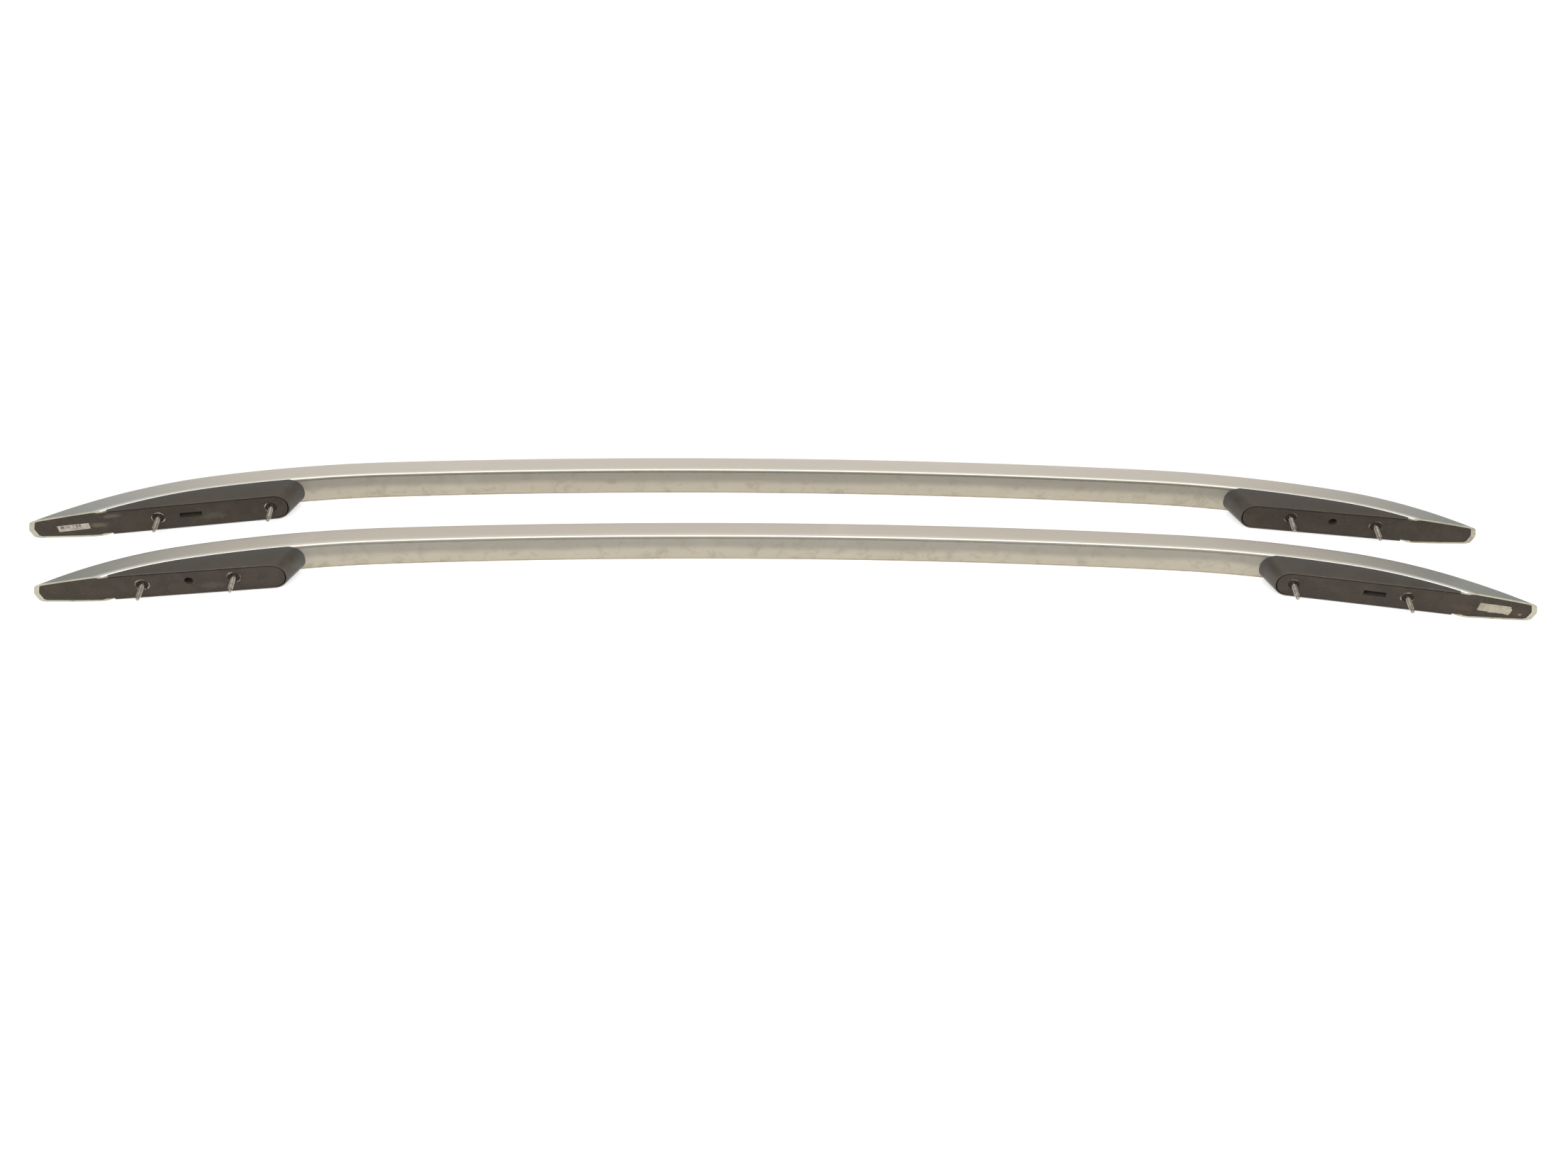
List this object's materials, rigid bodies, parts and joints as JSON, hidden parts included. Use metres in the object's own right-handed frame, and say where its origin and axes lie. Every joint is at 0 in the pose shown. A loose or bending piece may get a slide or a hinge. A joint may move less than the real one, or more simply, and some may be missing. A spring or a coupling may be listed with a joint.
{
  "type": "roof side rail pair",
  "caption": "Raised roof side rails for a car: bent hollow aluminium rails on moulded feet with threaded studs, laid on their sides.",
  "frame": {"origin": "centre of the pair's bounding box on the surface that the rails lie on", "axes": "+X along the rails, +Y up on the car and away from the studs, +Z up as the rails lie, across the car when mounted"},
  "size_m": [1.866, 0.2602, 0.0425],
  "materials": {
    "rail": "satin anodised",
    "cover": "fine grained",
    "pad": "grained",
    "bracket": "as cast",
    "stud": "zinc plated",
    "seal": "matt",
    "screw": "zinc plated"
  },
  "bodies": {
    "root": {"back_rail": "rail", "back_slot_cover": "cover", "back_slot_pad": "pad", "back_slot_bracket": "bracket", "back_slot_outer_stud": "stud", "back_slot_inner_stud": "stud", "back_slot_seals": "seal", "back_slot_screws": "screw", "back_hole_cover": "cover", "back_hole_pad": "pad", "back_hole_bracket": "bracket", "back_hole_outer_stud": "stud", "back_hole_inner_stud": "stud", "back_hole_seals": "seal", "back_hole_screws": "screw", "front_rail": "rail", "front_slot_cover": "cover", "front_slot_pad": "pad", "front_slot_bracket": "bracket", "front_slot_outer_stud": "stud", "front_slot_inner_stud": "stud", "front_slot_seals": "seal", "front_slot_screws": "screw", "front_hole_cover": "cover", "front_hole_pad": "pad", "front_hole_bracket": "bracket", "front_hole_outer_stud": "stud", "front_hole_inner_stud": "stud", "front_hole_seals": "seal", "front_hole_screws": "screw"}
  },
  "joints": []
}
